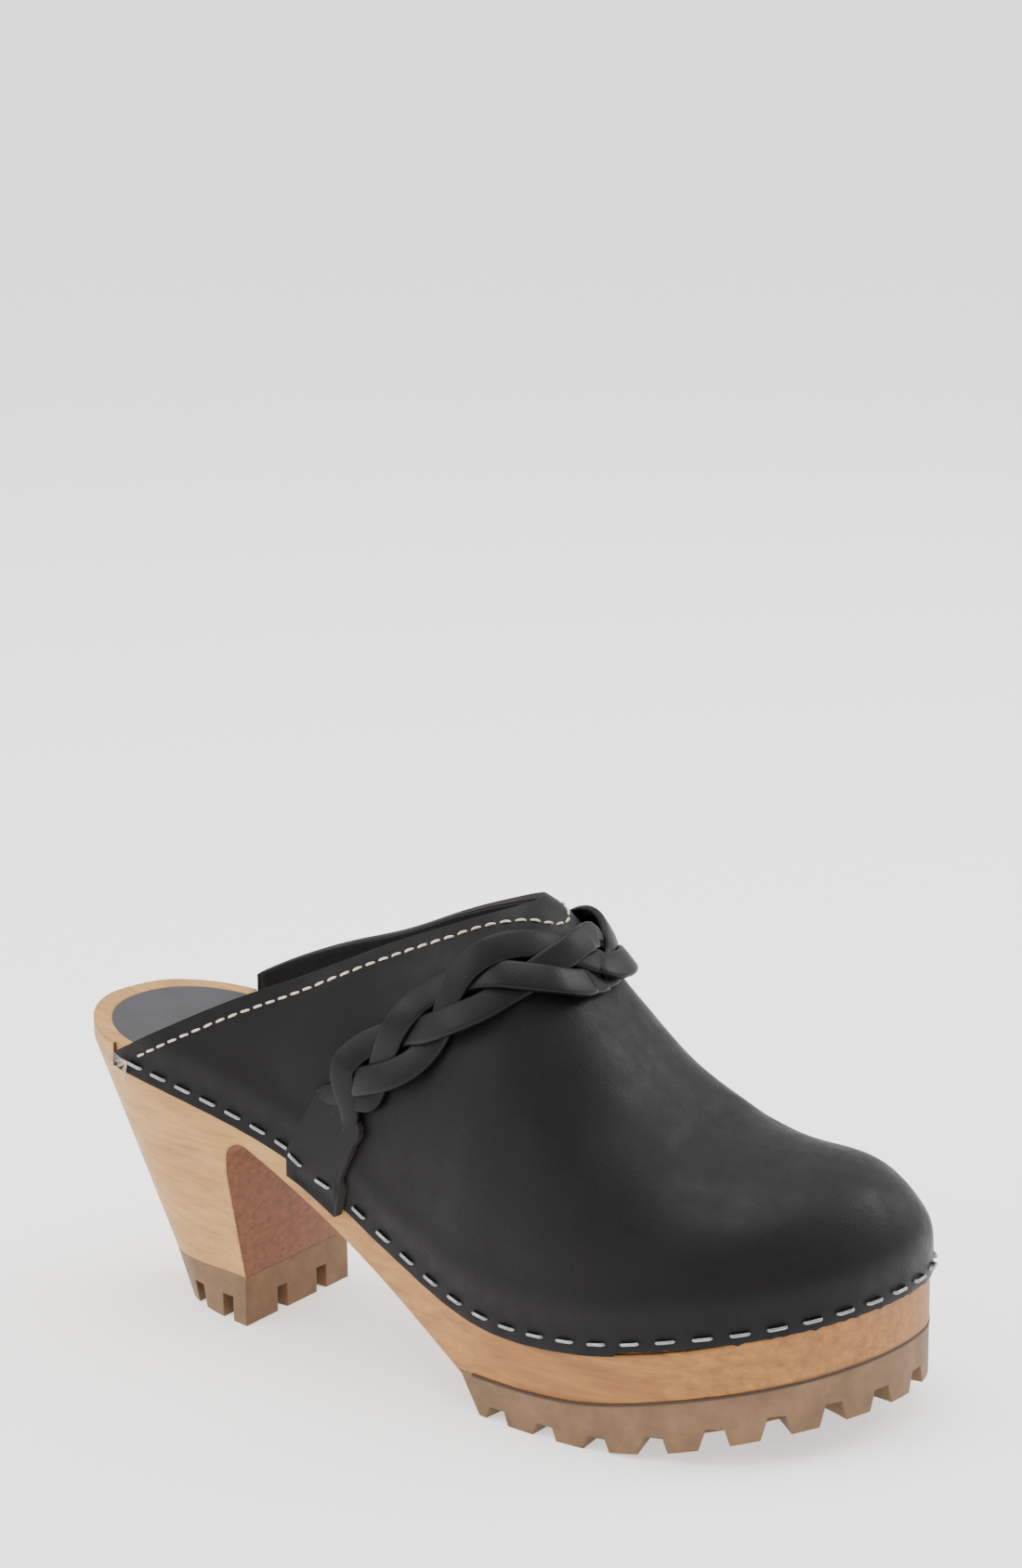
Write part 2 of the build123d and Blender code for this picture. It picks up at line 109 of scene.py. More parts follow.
def smoothLine(points):
    xs, zs = np.array(points, float).T
    slopes = np.gradient(zs, xs)

    def height(x):
        x = np.asarray(x, float)
        i = np.clip(np.searchsorted(xs, x) - 1, 0, len(xs) - 2)
        span = xs[i + 1] - xs[i]
        return between((x - xs[i]) / span, span, zs[i], zs[i + 1], slopes[i], slopes[i + 1])
    return height


def smoothStep(x, low, high):
    u = np.clip((np.asarray(x, float) - low) / (high - low), 0, 1)
    return u * u * (3 - 2 * u)


def unit(vectors):
    return vectors / np.linalg.norm(vectors, axis=-1, keepdims=True)


marginZ, toplineZ, crownZ = (smoothLine(clog[name]) for name in ("margin", "topline", "crown"))
walk = closedWalk(clog["outline"], 900)
walk = np.roll(walk, -int(np.argmin(walk[:, 0])), axis=0)
steps = np.roll(walk, -1, axis=0) - np.roll(walk, 1, axis=0)
outward = np.column_stack([steps[:, 1], -steps[:, 0]]) / np.hypot(*steps.T)[:, None]
sunk = walk - clog["rebate"] * outward
toeIndex = int(np.argmax(walk[:, 0]))
lateralSunk, medialSunk = sunk[:toeIndex + 1], sunk[:toeIndex - 1:-1]
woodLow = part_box("wood_base")[0]
shift = np.array([woodLow[0] / mm - walk[:, 0].min(), woodLow[1] / mm - walk[:, 1].min(), 0])


def sideY(side, x):
    return np.interp(x, side[:, 0], side[:, 1])


def ridgeY(x):
    middle = (sideY(lateralSunk, x) + sideY(medialSunk, x)) / 2
    return middle + clog["ridgeOffset"] * smoothStep(x, 60, 120)


toeBoxY = float(ridgeY(clog["toeBox"]))
rays = sunk - np.array([clog["toeBox"], toeBoxY])
rays = rays[rays[:, 0] > -2]
rays = rays[np.argsort(np.arctan2(rays[:, 1], rays[:, 0]))]
rayAngles, rayLengths = np.arctan2(rays[:, 1], rays[:, 0]), np.hypot(*rays.T)


def domeZ(x, y):
    # height of the last: an oval from side to side, fuller towards the toes
    middle = ridgeY(x)
    half = np.where(y > middle, sideY(medialSunk, x), sideY(lateralSunk, x)) - middle
    across = np.abs((y - middle) / np.where(np.abs(half) < 1e-6, 1e-6, half))
    dx, dy = x - clog["toeBox"], y - toeBoxY
    around = np.hypot(dx, dy) / np.interp(np.arctan2(dy, dx), rayAngles, rayLengths)
    spread = np.clip(np.where(x < clog["toeBox"], across, around), 0, 1)
    power = 2 + 0.7 * smoothStep(x, 120, 190)
    return marginZ(x) + (crownZ(x) - marginZ(x)) * (1 - spread ** power) ** (1 / power)


firstIndex = int(np.argmax(lateralSunk[:, 0] > clog["lateralEnd"]))
lastIndex = len(sunk) - int(np.argmax(medialSunk[:, 0] > clog["medialEnd"])) - 1
edgeWalk = sunk[firstIndex:lastIndex + 1]
edgeRun = runAlong(edgeWalk)


def edgeXy(t):
    at = np.asarray(t) * edgeRun[-1]
    return np.stack([np.interp(at, edgeRun, edgeWalk[:, k]) for k in (0, 1)], -1)


def inwardXy(t, a):
    # from the edge towards the ridge, bending back so that no line crosses another at the toes
    start = edgeXy(t)
    x = np.where(start[..., 0] < 90, start[..., 0], 90 + 44 * np.tanh((start[..., 0] - 90) / 60))
    return start + np.asarray(a)[..., None] * (np.stack([x, ridgeY(x)], -1) - start)


def reachOfTopline(t):
    # how far in from the edge the dome meets the topline, by halving
    low, high = np.zeros(len(t)), np.ones(len(t))
    for _ in range(40):
        middle = (low + high) / 2
        x, y = inwardXy(t, middle).T
        top = toplineZ(x) + clog["medialRise"] * smoothStep(y, 0, 20) * smoothStep(-x, -90, -25)
        below = domeZ(x, y) < top
        low, high = np.where(below, middle, low), np.where(below, high, middle)
    return low


reachT = np.linspace(0, 1, 161)
reachA = reachOfTopline(reachT)


def skin(t, s):
    # the upper's inner face: t runs round the foot, s up from the wood to the topline
    t, s = np.broadcast_arrays(np.asarray(t, float), np.asarray(s, float))
    xy = inwardXy(t, np.interp(t, reachT, reachA) * np.maximum(s, 0) ** 2)
    z = domeZ(xy[..., 0], xy[..., 1]) + clog["hang"] * np.minimum(s, 0)
    return np.concatenate([xy, z[..., None]], -1)


def skinNormal(t, s, step=0.004):
    along = skin(np.clip(t + step, 0, 1), s) - skin(np.clip(t - step, 0, 1), s)
    up = skin(t, np.minimum(s + step, 1)) - skin(t, s - step)
    return unit(np.cross(along, up))


def lifted(t, s, lift):
    t, s, lift = np.broadcast_arrays(*(np.asarray(value, float) for value in (t, s, lift)))
    return skin(t, s) + lift[..., None] * skinNormal(t, s)


def heightOf(t):
    # length of the leather from the wood to the topline
    rows = skin(np.asarray(t)[..., None] + np.zeros(16), np.linspace(0, 1, 16))
    return np.linalg.norm(np.diff(rows, axis=-2), axis=-1).sum(-1)


# ---- how a piece is made

def newPiece(name, shape, materials):
    mesh = bpy.data.meshes.new(name)
    shape.to_mesh(mesh)
    shape.free()
    for material in materials:
        mesh.materials.append(material)
    mesh.shade_smooth()
    piece = bpy.data.objects.new(name, mesh)
    bpy.context.scene.collection.objects.link(piece)
    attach(piece, "root")
    return piece


def bentSheet(name, across, upward, placeOf, materials):
    # a flat grid bent to the place that placeOf gives for each u across and v up, from 0 to 1
    shape = bmesh.new()
    bmesh.ops.create_grid(shape, x_segments=across, y_segments=upward, size=0.5)
    uv = shape.loops.layers.uv.new("UVMap")
    for face in shape.faces:
        for loop in face.loops:
            loop[uv].uv = loop.vert.co.x + 0.5, loop.vert.co.y + 0.5
    flat = np.array([vert.co[:2] for vert in shape.verts]) + 0.5
    places = (placeOf(flat[:, 0], flat[:, 1]) + shift) * mm
    for vert, place in zip(shape.verts, places):
        vert.co = place
    return newPiece(name, shape, materials)


def giveThickness(piece, thickness, rim=0, inner=0):
    # the wall goes inwards; rim and inner say which material the cut edge and the inside take
    wall = piece.modifiers.new("wall", "SOLIDIFY")
    wall.thickness = thickness * mm
    wall.offset = -1
    wall.use_even_offset = True
    wall.material_offset_rim = rim
    wall.material_offset = inner


def roundEdges(piece, width, segments=2, angle=40):
    edge = piece.modifiers.new("rounded", "BEVEL")
    edge.width = width * mm
    edge.segments = segments
    edge.limit_method = "ANGLE"
    edge.angle_limit = math.radians(angle)


# ---- materials

def srgb(code):
    # hex colour to linear
    parts = [int(code[k:k + 2], 16) / 255 for k in (1, 3, 5)]
    return [p / 12.92 if p < 0.04045 else ((p + 0.055) / 1.055) ** 2.4 for p in parts] + [1]


def addNode(material, kind, inputs=None, stops=None, **settings):
    # an input is a value, a socket, or a node whose first live output is meant
    node = material.node_tree.nodes.new("ShaderNode" + kind)
    for name, value in settings.items():
        setattr(node, name, value)
    for name, value in (inputs or {}).items():
        give(material, node.inputs[name], value)
    if stops:
        elements = node.color_ramp.elements
        while len(elements) < len(stops):
            elements.new(0.5)
        for element, (place, colour) in zip(elements, stops):
            element.position = place
            element.color = srgb(colour) if isinstance(colour, str) else [colour] * 3 + [1]
    return node


def give(material, socket, value):
    if isinstance(value, bpy.types.Node):
        value = next(output for output in value.outputs if output.enabled)
    if isinstance(value, bpy.types.NodeSocket):
        material.node_tree.links.new(value, socket)
    else:
        socket.default_value = value


def newMaterial(name, **shader):
    material = bpy.data.materials.new(name)
    material.use_nodes = True
    principled = material.node_tree.nodes["Principled BSDF"]
    for key, value in shader.items():
        principled.inputs[key.replace("_", " ")].default_value = value
    place = addNode(material, "TexCoord").outputs["Object"]
    return material, principled, place


def blackLeather():
    # vegetable-tanned cowhide, dyed through and waxed: fine pebble, soft broad shine, paler creases
    material, shader, place = newMaterial("blackLeather", Roughness=0.48, IOR=1.45, Specular_IOR_Level=0.2)
    even = addNode(material, "Mapping", {"Vector": place})
    pebble = addNode(material, "TexVoronoi", {"Vector": even, "Scale": 1 / (1.1 * mm), "Randomness": 1.0},
                     feature="DISTANCE_TO_EDGE")
    pores = addNode(material, "TexNoise", {"Vector": even, "Scale": 1 / (0.6 * mm), "Detail": 4})
    drift = addNode(material, "TexNoise", {"Vector": even, "Scale": 1 / (30 * mm), "Detail": 4})
    worn = addNode(material, "TexNoise",
                   {"Vector": even, "Scale": 1 / (6 * mm), "Detail": 5, "Roughness": 0.65})
    dye = addNode(material, "ValToRGB", {"Fac": drift}, [(0.3, "#090709"), (0.7, "#0f0c0f")])
    rubbed = addNode(material, "Math", {0: worn, 1: 0.25}, operation="MULTIPLY")
    colour = addNode(material, "Mix", {0: rubbed, 6: dye, 7: srgb("#1b1818")}, data_type="RGBA")
    shine = addNode(material, "ValToRGB", {"Fac": worn}, [(0.3, 0.4), (0.75, 0.58)])
    cells = addNode(material, "ValToRGB", {"Fac": pebble}, [(0.0, 0.0), (0.25, 1.0)])
    fine = addNode(material, "Bump", {"Height": pores, "Distance": 0.08 * mm, "Strength": 0.5})
    grain = addNode(material, "Bump",
                    {"Height": cells, "Distance": 0.05 * mm, "Strength": 0.45, "Normal": fine})
    give(material, shader.inputs["Base Color"], colour)
    give(material, shader.inputs["Roughness"], shine)
    give(material, shader.inputs["Normal"], grain)
    return material


def strapLeather():
    # the same dyed cowhide cut into straps: flatter grain, a little more shine from burnishing
    material, shader, place = newMaterial("strapLeather", Roughness=0.42, IOR=1.45, Specular_IOR_Level=0.22)
    pores = addNode(material, "TexNoise",
                    {"Vector": place, "Scale": 1 / (0.7 * mm), "Detail": 5, "Roughness": 0.6})
    drift = addNode(material, "TexNoise", {"Vector": place, "Scale": 1 / (12 * mm), "Detail": 4})
    dye = addNode(material, "ValToRGB", {"Fac": drift}, [(0.3, "#090808"), (0.7, "#110f10")])
    shine = addNode(material, "ValToRGB", {"Fac": drift}, [(0.3, 0.33), (0.7, 0.5)])
    grain = addNode(material, "Bump", {"Height": pores, "Distance": 0.12 * mm, "Strength": 0.5})
    give(material, shader.inputs["Base Color"], dye)
    give(material, shader.inputs["Roughness"], shine)
    give(material, shader.inputs["Normal"], grain)
    return material


def rawEdge():
    # knife-cut edge of the hide: bare fibre, dull and greyer than the dyed face
    material, shader, place = newMaterial("rawEdge", Roughness=0.9, IOR=1.45)
    layered = addNode(material, "Mapping", {"Vector": place, "Scale": (1, 1, 3)})
    fibre = addNode(material, "TexNoise",
                    {"Vector": layered, "Scale": 1 / (0.5 * mm), "Detail": 5, "Roughness": 0.7})
    colour = addNode(material, "ValToRGB", {"Fac": fibre}, [(0.3, "#110f0e"), (0.7, "#332d2a")])
    rough = addNode(material, "Bump", {"Height": fibre, "Distance": 0.3 * mm, "Strength": 0.8})
    give(material, shader.inputs["Base Color"], colour)
    give(material, shader.inputs["Normal"], rough)
    return material


def nappedLining():
    # brushed flesh side, dyed black: no shine, pale bloom at grazing angles from the nap
    material, shader, place = newMaterial("nappedLining", Roughness=0.97, IOR=1.4,
                                          Sheen_Weight=0.06, Sheen_Roughness=0.5)
    nap = addNode(material, "TexNoise",
                  {"Vector": place, "Scale": 1 / (0.7 * mm), "Detail": 6, "Roughness": 0.75})
    brushed = addNode(material, "TexNoise", {"Vector": place, "Scale": 1 / (6 * mm), "Detail": 3})
    dye = addNode(material, "ValToRGB", {"Fac": brushed}, [(0.3, "#040404"), (0.7, "#080707")])
    tips = addNode(material, "Math", {0: nap, 1: 0.35}, operation="MULTIPLY")
    colour = addNode(material, "Mix", {0: tips, 6: dye, 7: srgb("#151313")}, data_type="RGBA")
    fuzz = addNode(material, "Bump", {"Height": nap, "Distance": 0.5 * mm, "Strength": 0.9})
    give(material, shader.inputs["Base Color"], colour)
    give(material, shader.inputs["Normal"], fuzz)
    return material


def alderWood():
    # carved and lightly oiled alder: long fine grain, warmer to the toe, dark end grain on the heel's breast
    material, shader, place = newMaterial("alderWood", Roughness=0.55, IOR=1.52)
    along = addNode(material, "Mapping", {"Vector": place, "Scale": (0.06, 1, 1), "Rotation": (0, 0.04, 0)})
    wide = addNode(material, "Mapping", {"Vector": place, "Scale": (0.12, 1, 1), "Location": (0.3, 0, 0)})
    thin = addNode(material, "Mapping", {"Vector": place, "Scale": (0.09, 1, 1)})
    across = addNode(material, "Mapping", {"Vector": place, "Scale": (1, 0.6, 1)})
    streaks = addNode(material, "TexNoise", {"Vector": along, "Scale": 1 / (2.2 * mm), "Detail": 6,
                                             "Roughness": 0.62, "Distortion": 0.3})
    bands = addNode(material, "TexNoise", {"Vector": wide, "Scale": 1 / (11 * mm), "Detail": 3})
    pores = addNode(material, "TexNoise", {"Vector": thin, "Scale": 1 / (0.6 * mm), "Detail": 2})
    torn = addNode(material, "TexNoise",
                   {"Vector": across, "Scale": 1 / (1.5 * mm), "Detail": 6, "Roughness": 0.7})
    pale = addNode(material, "ValToRGB", {"Fac": streaks},
                   [(0.22, "#9a6d30"), (0.5, "#bf9150"), (0.78, "#cfa564")])
    warm = addNode(material, "ValToRGB", {"Fac": streaks},
                   [(0.25, "#7a4c18"), (0.5, "#a06a2c"), (0.78, "#b9853f")])
    x = addNode(material, "SeparateXYZ", {"Vector": addNode(material, "Mapping", {"Vector": place})})
    toToe = addNode(material, "MapRange", {"Value": x, "From Min": -45 * mm, "From Max": 40 * mm})
    colour = addNode(material, "Mix", {0: toToe, 6: pale, 7: warm}, data_type="RGBA")
    ring = addNode(material, "Math", {0: bands, 1: 0.6}, operation="MULTIPLY")
    colour = addNode(material, "Mix", {0: ring, 6: colour, 7: srgb("#a8763e")}, data_type="RGBA",
                     blend_type="MULTIPLY")
    # the breast is where the wood faces forward behind the arch
    facing = addNode(material, "SeparateXYZ", {"Vector": addNode(material, "NewGeometry").outputs["Normal"]})
    cut = addNode(material, "ValToRGB", {"Fac": facing}, [(0.35, 0.0), (0.75, 1.0)])
    ahead = addNode(material, "MapRange", {"Value": x, "From Min": 20 * mm, "From Max": 40 * mm})
    behind = addNode(material, "ValToRGB", {"Fac": ahead}, [(0.0, 1.0), (1.0, 0.0)])
    onBreast = addNode(material, "Math", {0: cut, 1: behind}, operation="MULTIPLY")
    endGrain = addNode(material, "ValToRGB", {"Fac": torn}, [(0.3, "#552d13"), (0.7, "#854d26")])
    colour = addNode(material, "Mix", {0: onBreast, 6: colour, 7: endGrain}, data_type="RGBA")
    openPore = addNode(material, "ValToRGB", {"Fac": pores}, [(0.24, 0.5), (0.36, 0.0)])
    colour = addNode(material, "Mix", {0: openPore, 6: colour, 7: srgb("#7a5230")}, data_type="RGBA")
    oil = addNode(material, "ValToRGB", {"Fac": streaks}, [(0.3, 0.5), (0.7, 0.62)])
    sanded = addNode(material, "Bevel", {"Radius": 1.4 * mm}, samples=4)
    grain = addNode(material, "Bump",
                    {"Height": streaks, "Distance": 0.1 * mm, "Strength": 0.5, "Normal": sanded})
    give(material, shader.inputs["Base Color"], colour)
    give(material, shader.inputs["Roughness"], oil)
    give(material, shader.inputs["Normal"], grain)
    return material


def gumRubber():
    # moulded honey-brown rubber: even colour with faint mottle, dull, scuffed a little on the sides
    material, shader, place = newMaterial("gumRubber", Roughness=0.62, IOR=1.52)
    level = addNode(material, "Mapping", {"Vector": place, "Scale": (0.4, 0.4, 2.5)})
    mottle = addNode(material, "TexNoise",
                     {"Vector": place, "Scale": 1 / (9 * mm), "Detail": 5, "Roughness": 0.6})
    scuff = addNode(material, "TexNoise",
                    {"Vector": level, "Scale": 1 / (1.8 * mm), "Detail": 5, "Roughness": 0.7})
    gum = addNode(material, "ValToRGB", {"Fac": mottle},
                  [(0.3, "#5c4227"), (0.55, "#705233"), (0.8, "#806141")])
    scraped = addNode(material, "ValToRGB", {"Fac": scuff}, [(0.55, 0.0), (0.8, 0.4)])
    colour = addNode(material, "Mix", {0: scraped, 6: gum, 7: srgb("#8d714f")}, data_type="RGBA")
    shine = addNode(material, "ValToRGB", {"Fac": scuff}, [(0.3, 0.55), (0.8, 0.75)])
    moulded = addNode(material, "Bevel", {"Radius": 0.8 * mm}, samples=4)
    rough = addNode(material, "Bump",
                    {"Height": scuff, "Distance": 0.12 * mm, "Strength": 0.5, "Normal": moulded})
    give(material, shader.inputs["Base Color"], colour)
    give(material, shader.inputs["Roughness"], shine)
    give(material, shader.inputs["Normal"], rough)
    return material


def galvanisedWire():
    # zinc-coated staple wire: bright, drawn along its length, a few dull patches
    material, shader, place = newMaterial("galvanisedWire", Metallic=1.0, Roughness=0.3)
    dull = addNode(material, "TexNoise", {"Vector": place, "Scale": 1 / (2 * mm), "Detail": 4})
    zinc = addNode(material, "ValToRGB", {"Fac": dull}, [(0.3, "#9a9b9e"), (0.7, "#77787b")])
    shine = addNode(material, "ValToRGB", {"Fac": dull}, [(0.3, 0.22), (0.7, 0.42)])
    give(material, shader.inputs["Base Color"], zinc)
    give(material, shader.inputs["Roughness"], shine)
    return material


def paddedVinyl():
    # soft-backed dark grey pad cloth: matt, close even grain
    material, shader, place = newMaterial("paddedVinyl", Roughness=0.72, IOR=1.5,
                                          Sheen_Weight=0.15, Sheen_Roughness=0.5)
    cloth = addNode(material, "TexNoise", {"Vector": place, "Scale": 1 / (0.8 * mm), "Detail": 4})
    drift = addNode(material, "TexNoise", {"Vector": place, "Scale": 1 / (14 * mm), "Detail": 3})
    grey = addNode(material, "ValToRGB", {"Fac": drift}, [(0.3, "#211e22"), (0.7, "#2c292d")])
    grain = addNode(material, "Bump", {"Height": cloth, "Distance": 0.15 * mm, "Strength": 0.6})
    give(material, shader.inputs["Base Color"], grey)
    give(material, shader.inputs["Normal"], grain)
    return material


def waxedThread():
    # bonded off-white thread: slightly shiny with a two-ply twist
    material, shader, place = newMaterial("waxedThread", Roughness=0.6, IOR=1.5, Sheen_Weight=0.2)
    slanted = addNode(material, "Mapping",
                      {"Vector": place, "Rotation": (0.5, 0.6, 0.3), "Scale": (1, 1, 0.3)})
    twist = addNode(material, "TexNoise", {"Vector": slanted, "Scale": 1 / (0.3 * mm), "Detail": 2})
    colour = addNode(material, "ValToRGB", {"Fac": twist}, [(0.35, "#b9aa90"), (0.65, "#e9dfc9")])
    plies = addNode(material, "Bump", {"Height": twist, "Distance": 0.2 * mm, "Strength": 0.7})
    give(material, shader.inputs["Base Color"], colour)
    give(material, shader.inputs["Normal"], plies)
    return material


def stiffenerBoard():
    # pressed fibre board inside the toe, never seen
    return newMaterial("stiffenerBoard", Base_Color=srgb("#8c7a62"), Roughness=0.9)[0]


def darkCement():
    # squeezed-out glue, dried nearly black
    return newMaterial("darkCement", Base_Color=srgb("#3a2618"), Roughness=0.7)[0]


upperFace, strapFace, cutEdge, napFace = blackLeather(), strapLeather(), rawEdge(), nappedLining()
wood, rubber, wire, padFace = alderWood(), gumRubber(), galvanisedWire(), paddedVinyl()
thread, board, cement = waxedThread(), stiffenerBoard(), darkCement()
print("materials made")

nodeMaterials = {
    "wood_base": wood, "forefoot_outsole": rubber, "heel_lift": rubber, "heel_pad": padFace,
    "heel_nails": wire, "rim_staples": wire, "strap_staples": wire, "toe_stiffener": board,
    "upper_leather": upperFace, "topline_lining": napFace, "topline_stitching": thread,
    "strap_tab_lateral": strapFace, "strap_tab_medial": strapFace,
    "braid_strand_1": strapFace, "braid_strand_2": strapFace, "braid_strand_3": strapFace,
}
for name, material in nodeMaterials.items():
    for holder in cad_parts[name].material_slots:
        holder.material = material


# ---- upper: one sheet of leather, pressed flat under the staples and swelling just above them

upper = {
    "across": 300, "upward": 80,
    "swell": 0.7, "swellHeight": 12.5, "swellWidth": 5.0,      # the swelling over the stapled edge
    "pucker": 0.22, "puckerHeight": 4.5, "puckerReach": (0.5, 4.0),   # the dent round each staple
    "wave": 0.35, "waveFrom": (10, 25),                        # slow unevenness of the hide
    "crease": 0.7, "creaseX": 187.0, "creaseWidth": 3.2,       # where the toes bend it
    "edgeRound": 0.5,
    "heelRun": (8.2, 7.8, 7), "frontRun": (81.0, 37),          # staples: first, pitch, count; first, count
}


def staplePlaces():
    start, pitch, count = upper["heelRun"]
    first, many = upper["frontRun"]
    total = edgeRun[-1]
    heel = np.arange(count) * pitch + start
    return np.concatenate([heel, np.linspace(first, total - first, many), total - heel])


def upperRelief(t, s, surface):
    x, y, z = surface.T
    rise = z - marginZ(edgeXy(t)[:, 0])
    swell = upper["swell"] * np.exp(-((rise - upper["swellHeight"]) / upper["swellWidth"]) ** 2)
    gap = np.min(np.abs(t[:, None] * edgeRun[-1] - staplePlaces()[None]), axis=1)
    nearEdge = np.exp(-((rise - upper["puckerHeight"]) / upper["puckerHeight"]) ** 2)
    nip = upper["pucker"] * nearEdge * (smoothStep(gap, *upper["puckerReach"]) - 1)
    wave = np.sin(x / 9.3 + y / 17) * np.sin(y / 11.7 - x / 23 + 1.3) + 0.5 * np.sin(x / 5.1 - y / 7.9)
    bend = x - upper["creaseX"] - 0.004 * (y - 5) ** 2
    crease = np.exp(-(bend / upper["creaseWidth"]) ** 2) * smoothStep(40 - np.abs(y), 5, 25)
    fade = smoothStep(rise, *upper["waveFrom"]) * smoothStep(1 - s, 0, 0.12)
    return swell + nip + fade * (upper["wave"] * wave - upper["crease"] * crease)


def upperPlace(t, s):
    return lifted(t, s, clog["leather"] + upperRelief(t, s, skin(t, s)))


upperLeather = bentSheet("upperLeather", upper["across"], upper["upward"], upperPlace,
                         [upperFace, cutEdge, napFace])
giveThickness(upperLeather, clog["leather"], rim=1, inner=2)
roundEdges(upperLeather, upper["edgeRound"])
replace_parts(upperLeather, "upper_leather")
print("upper made")


# ---- lining band, turned in under the topline

lining = {"across": 240, "upward": 10, "depth": 16.0, "gap": 0.06, "ruffle": 0.25, "ruffles": 260,
          "ends": 0.004, "top": 0.995, "lowest": 0.02}


def liningPlace(u, v):
    t = lining["ends"] + (1 - 2 * lining["ends"]) * u
    low = np.maximum(1 - lining["depth"] / heightOf(t), lining["lowest"])
    ruffle = lining["ruffle"] * np.sin(t * lining["ruffles"]) * (1 - v) ** 2
    return lifted(t, low + (lining["top"] - low) * v, -lining["gap"] - ruffle)


toplineLining = bentSheet("toplineLining", lining["across"], lining["upward"], liningPlace,
                          [napFace])
giveThickness(toplineLining, clog["lining"])
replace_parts(toplineLining, "topline_lining")
print("lining made")


# ---- strap ends, stapled to the wood over the upper

tab = {
    # outline of one end: how far round, and its lower and upper edge up the leather
    "edge": [(0.119, -0.05, 0.08), (0.128, -0.05, 0.25), (0.138, -0.05, 0.40), (0.143, -0.05, 0.45),
             (0.153, -0.05, 0.43), (0.157, 0.12, 0.41), (0.166, 0.27, 0.37), (0.170, 0.31, 0.34)],
    "across": 40, "upward": 30, "gap": 0.1, "edgeRound": 0.45,
    "dip": 0.5, "dipAt": (0.4, 0.12), "dipReach": (0.3, 0.1),     # pulled in under its two staples
}


def strapTab(name, node, mirrored):
    ts, lows, highs = np.array(tab["edge"]).T

    def place(u, v):
        t = ts[0] + (ts[-1] - ts[0]) * (1 - u if mirrored else u)
        s = np.interp(t, ts, lows) * (1 - v) + np.interp(t, ts, highs) * v
        pulled = tab["dip"] * np.exp(-((v - tab["dipAt"][1]) / tab["dipReach"][1]) ** 2)
        pulled = pulled * (np.abs(u - tab["dipAt"][0]) < tab["dipReach"][0])
        return lifted(1 - t if mirrored else t, s, clog["leather"] + clog["strap"] + tab["gap"] - pulled)
    piece = bentSheet(name, tab["across"], tab["upward"], place, [strapFace, cutEdge])
    giveThickness(piece, clog["strap"], rim=1)
    roundEdges(piece, tab["edgeRound"])
    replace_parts(piece, node)


strapTab("strapTabLateral", "strap_tab_lateral", False)
strapTab("strapTabMedial", "strap_tab_medial", True)
print("strap ends made")


# ---- plait of three flat strands over the instep

plait = {
    # its middle from a strap end up to the instep's ridge: how far round, how far up the leather
    "line": [(0.1500, 0.35), (0.168, 0.50), (0.195, 0.62), (0.222, 0.70), (0.252, 0.775), (0.290, 0.84),
             (0.345, 0.89), (0.42, 0.92), (0.50, 0.93)],
    "turns": 2.4, "ramp": 0.08,           # full turns, and the share of each end that isn't plaited yet
    "reach": 6.2, "rise": 1.4,            # how far a strand swings sideways and up over the others
    "gap": 0.12, "clear": 0.65,           # off the leather at the slits, and further off where plaited
    "width": 7.8, "slitPitch": 5.5,
    "stations": 260, "aroundSection": 24,
    "squareness": (0.3, 0.5), "edgeCurl": 0.25, "tilt": 0.1, "edgeRound": 0.15,
}
plaitT = smoothLine([(k, t) for k, (t, _) in enumerate(plait["line"])])
plaitS = smoothLine([(k, s) for k, (_, s) in enumerate(plait["line"])])
plaitPlaces = np.linspace(0, len(plait["line"]) - 1, 161)
plaitRun = runAlong(skin(plaitT(plaitPlaces), plaitS(plaitPlaces)))


def strapLine(q):
    # q goes from the outer strap end over the foot to the inner one
    place = np.interp(np.minimum(q, 1 - q) * 2 * plaitRun[-1], plaitRun, plaitPlaces)
    return np.where(q > 0.5, 1 - plaitT(place), plaitT(place)), plaitS(place)


def strandCentre(q, number, step=0.004):
    plaited = smoothStep(q, 0, plait["ramp"]) * smoothStep(1 - q, 0, plait["ramp"])
    phase = 2 * np.pi * (plait["turns"] * q + number / 3)
    across = plaited * plait["reach"] * np.sin(phase) + (1 - plaited) * (number - 1) * plait["slitPitch"]
    over = plaited * (plait["clear"] + plait["rise"] * (1 + np.sin(2 * phase)))
    over = over + clog["leather"] + plait["gap"] + clog["strap"] / 2
    t, s = strapLine(q)
    t0, s0 = strapLine(np.maximum(q - step, 0))
    t1, s1 = strapLine(np.minimum(q + step, 1))
    upward = np.minimum(s + step, 1)
    byT = (lifted(t + step, s, clog["leather"]) - lifted(t - step, s, clog["leather"])) / (2 * step)
    byS = lifted(t, upward, clog["leather"]) - lifted(t, s - step, clog["leather"])
    byS = byS / (upward - s + step)[:, None]
    normal = unit(np.cross(byT, byS))
    sideways = unit(np.cross(normal, byT * (t1 - t0)[:, None] + byS * (s1 - s0)[:, None]))
    moves = np.array([np.linalg.lstsq(np.column_stack([a, b]), c * d, rcond=None)[0]
                      for a, b, c, d in zip(byT, byS, sideways, across)])
    return lifted(t + moves[:, 0], np.minimum(s + moves[:, 1], 1), over), normal, phase, plaited


